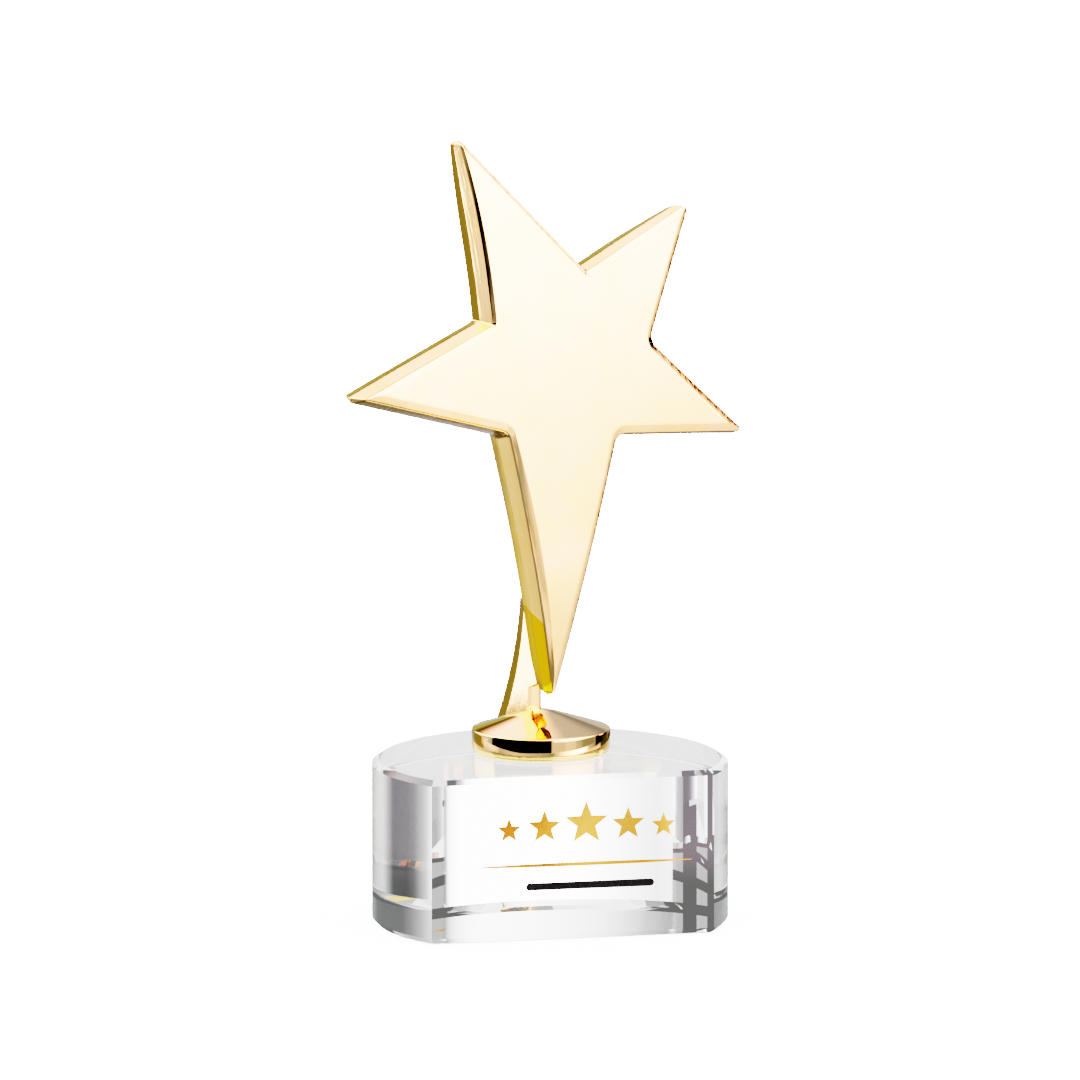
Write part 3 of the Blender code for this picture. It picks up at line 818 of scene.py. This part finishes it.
def stage_shell(name, radius, mat):
    bm = bmesh.new()
    bmesh.ops.create_uvsphere(bm, u_segments=64, v_segments=32, radius=radius)
    mesh = bpy.data.meshes.new(name)
    bm.to_mesh(mesh)
    bm.free()
    obj = bpy.data.objects.new(name, mesh)
    obj.rotation_euler = (0.0, 0.0, VIEW_AZIMUTH)
    bpy.context.scene.collection.objects.link(obj)
    mesh.materials.append(mat)
    return obj


# seen in the gold and in the crystal's outer polish
em = Emitter("softboxes", True)
low = em.ring((
    (-180, 0.07, PLAIN), (-152, 0.07), (-140, 0.12), (-100, 0.08), (-89, 0.06), (-87.5, 0.0), (17, 0.0),
    (18.5, 0.1), (40, 0.1), (42, 0.13), (58, 0.12), (62, 0.08), (70, 0.07), (74, 0.045), (98, 0.04),
    (102, 0.04), (104, 0.0), (138, 0.0), (142, 0.02, OLIVE), (150, 0.04, STRAW), (162, 0.075),
    (176, 0.07, PLAIN),
    (180, 0.07, PLAIN)))
rise = em.ring((
    (-180, 0.07, PLAIN), (-175, 0.055, OLIVE), (-150, 0.05, OLIVE), (-140, 0.4, PLAIN),
    (-89, 0.4, PLAIN), (-85, 0.0), (17, 0.0), (25, 0.4), (60, 0.8), (95, 0.3), (102, 0.18),
    (105, 0.0), (113, 0.0), (116, 0.5), (125, 0.5), (128, 0.01), (150, 0.04),
    (162, 0.075), (176, 0.07, PLAIN), (180, 0.07, PLAIN)))
crease = em.ring((
    (-180, 0.012, OLIVE), (-150, 0.012, OLIVE), (-135, 0.5, PLAIN), (-89, 0.6, PLAIN), (-85, 0.0), (17, 0.0), (25, 0.5),
    (60, 0.9), (95, 0.5), (106, 0.1), (120, 0.02), (150, 0.04), (180, 0.03)))
high = em.ring((
    (-180, 0.3), (-162, 0.3), (-140, 0.5, PLAIN), (-110, 0.6, PLAIN), (-60, 0.6, PLAIN),
    (-30, 0.45, PLAIN), (0, 0.5), (30, 0.7),
    (60, 1.0), (95, 0.9), (120, 0.12), (150, 0.06), (172, 0.08), (180, 0.25)))
zenith = em.ring(((-180, 0.05), (180, 0.05)))
em.put(em.glow.inputs["Color"], em.layers(em.height, (
    (6.0, low), (9.0, rise), (14.0, rise), (20.0, crease), (36.0, high), (60.0, high), (76.0, zenith))))
light_only(stage_shell("softbox_shell", 8.0, em.material), False)

em = Emitter("table_in_gold", True)
under = em.ring(((-180, 0.015), (180, 0.015)))
near = em.ring((
    (-180, 0.08), (-170, 0.06), (-158, 0.02, OLIVE), (-146, 0.03, OLIVE), (-130, 0.11, STRAW),
    (-118, 0.08, CREAM), (-92, 0.115, CREAM), (-76, 0.09, CREAM), (-66, 0.035), (22, 0.035),
    (28, 0.1), (34, 0.18), (42, 0.17), (52, 0.16), (62, 0.27), (79, 0.24), (86, 0.2),
    (100, 0.15), (112, 0.12), (117, 0.004), (145, 0.004), (165, 0.04), (180, 0.08)))
middle = em.ring((
    (-180, 0.05), (-150, 0.055), (-138, 0.045, STRAW), (-128, 0.03, OLIVE), (-119, 0.05), (-114, 0.7),
    (-101, 0.8), (-96, 0.15), (-82, 0.12), (-72, 0.0), (20, 0.0), (30, 0.05), (42, 0.06),
    (50, 0.16), (62, 0.26), (72, 0.25), (80, 0.18), (100, 0.16), (112, 0.14),
    (117, 0.004), (165, 0.01, OLIVE), (180, 0.05)))
far = em.ring((
    (-180, 0.05), (-150, 0.03, STRAW), (-138, 0.03, OLIVE), (-112, 0.035, OLIVE), (-106, 0.1),
    (-96, 0.12), (-84, 0.11), (-72, 0.05), (-40, 0.07), (0, 0.04), (20, 0.03), (30, 0.05), (40, 0.07),
    (50, 0.35),
    (62, 0.55), (71, 0.5), (78, 0.28), (90, 0.2), (112, 0.16),
    (117, 0.01, OLIVE), (136, 0.01, OLIVE), (144, 0.035, STRAW), (180, 0.05)))
farthest = em.ring((
    (-180, 0.05), (-150, 0.03, STRAW), (-138, 0.03, OLIVE), (-118, 0.03, OLIVE), (-106, 0.17),
    (-84, 0.18), (-72, 0.07), (-40, 0.1), (0, 0.06), (20, 0.04), (30, 0.15), (50, 0.65), (62, 1.2),
    (73, 1.1), (80, 0.5), (85, 0.1), (100, 0.05), (103, 0.0), (137, 0.0), (144, 0.04, STRAW),
    (165, 0.06), (180, 0.06)))
em.put(em.glow.inputs["Color"], em.layers(em.distance, (
    (0.10, under), (0.16, near), (0.29, near), (0.36, middle), (0.42, middle), (0.56, far),
    (0.62, far), (1.25, farthest))))
light_only(stage_disc("table_sheet", 7.9, FLOOR_Z + 0.0001, em.material, VIEW_AZIMUTH), False)

# seen through the crystal: a white card behind it, dark to both sides
em = Emitter("backlight", False)
down = em.ring((
    (-180, 1.2), (-173, 1.1), (-168, 0.55), (-162, 0.33), (-156, 0.24), (-150, 0.21), (-143, 0.27),
    (-137, 0.33), (-127, 0.25), (-120, 0.1), (-114, 0.14), (-100, 0.1), (-60, 0.1), (-28, 0.16),
    (-18, 0.075), (-8, 0.045), (2, 0.045), (18, 0.075), (24, 0.35), (40, 0.12), (95, 0.12), (108, 0.13),
    (117, 0.12), (122, 0.05), (127, 0.005), (137, 0.005), (141, 0.014), (144, 0.045), (147, 0.09),
    (151, 0.4), (156, 0.7), (162, 1.1)))
up = em.ring((
    (-180, 0.4), (-174, 0.31), (-168, 0.22), (-162, 0.135), (-156, 0.08), (-145, 0.055), (-120, 0.025),
    (-110, 0.03), (-100, 0.06), (-60, 0.05), (-20, 0.05), (0, 0.05), (20, 0.05), (60, 0.05),
    (97, 0.07), (102, 0.03), (108, 0.008), (134, 0.012), (139, 0.025), (144, 0.05), (150, 0.12),
    (156, 0.22), (162, 0.34), (168, 0.48), (180, 0.43)))
above = em.ring(((-180, 0.35), (-90, 0.2), (0, 0.15), (90, 0.2), (180, 0.35)))
em.put(em.glow.inputs["Color"], em.layers(em.height, (
    (-4.0, down), (4.0, up), (18.0, up), (45.0, above))))
light_only(stage_shell("backlight_shell", 7.8, em.material), True)

em = Emitter("card_under_crystal", False)
em.put(em.glow.inputs["Color"], em.ring(((-180, 0.24), (0, 0.22), (180, 0.24))))
light_only(stage_disc("card_under_crystal", CRYSTAL_RADIUS * MM + 0.003, FLOOR_Z + 0.0001,
                      em.material, VIEW_AZIMUTH), True)
floor.visible_transmission = False

# ------------------------------------------------------------------ world and key
world = bpy.data.worlds.new("studio")
bpy.context.scene.world = world
world.use_nodes = True
background = world.node_tree.nodes["Background"]
background.inputs["Color"].default_value = (1.0, 1.0, 1.0, 1.0)
background.inputs["Strength"].default_value = 24.0

key_data = bpy.data.lights.new("soft_key", "AREA")
key_data.shape = "DISK"
key_data.size = 1.6
key_data.energy = 60.0
key = bpy.data.objects.new("soft_key", key_data)
key.location = (0.9, -0.7, 2.2)
key.rotation_euler = (Vector((0.0, 0.0, 0.1)) - key.location).to_track_quat("-Z", "Y").to_euler()
key.visible_glossy = False
key.visible_transmission = False
bpy.context.scene.collection.objects.link(key)

# ------------------------------------------------------------------ camera
a, e = VIEW_AZIMUTH, VIEW_ELEVATION
back_vector = Vector((math.sin(a) * math.cos(e), -math.cos(a) * math.cos(e), math.sin(e)))
right_vector = Vector((math.cos(a), math.sin(a), 0.0))
up_vector = back_vector.cross(right_vector)
aim = Vector((0.0, 0.0, 0.09)) - right_vector * 0.002623 + up_vector * 0.010215
camera_data = bpy.data.cameras.new("view")
camera_data.sensor_width = 36.0
camera_data.lens = 770.0
camera_data.clip_start = 0.1
camera_data.clip_end = 100.0
camera = bpy.data.objects.new("view", camera_data)
camera.location = aim + back_vector * VIEW_DISTANCE
camera.rotation_euler = (math.pi / 2 - e, 0.0, a)
bpy.context.scene.collection.objects.link(camera)
bpy.context.scene.camera = camera

settings = bpy.context.scene.view_settings
settings.view_transform = "Filmic"
settings.look = "Very High Contrast"
settings.exposure = 0.0
settings.gamma = 1.0
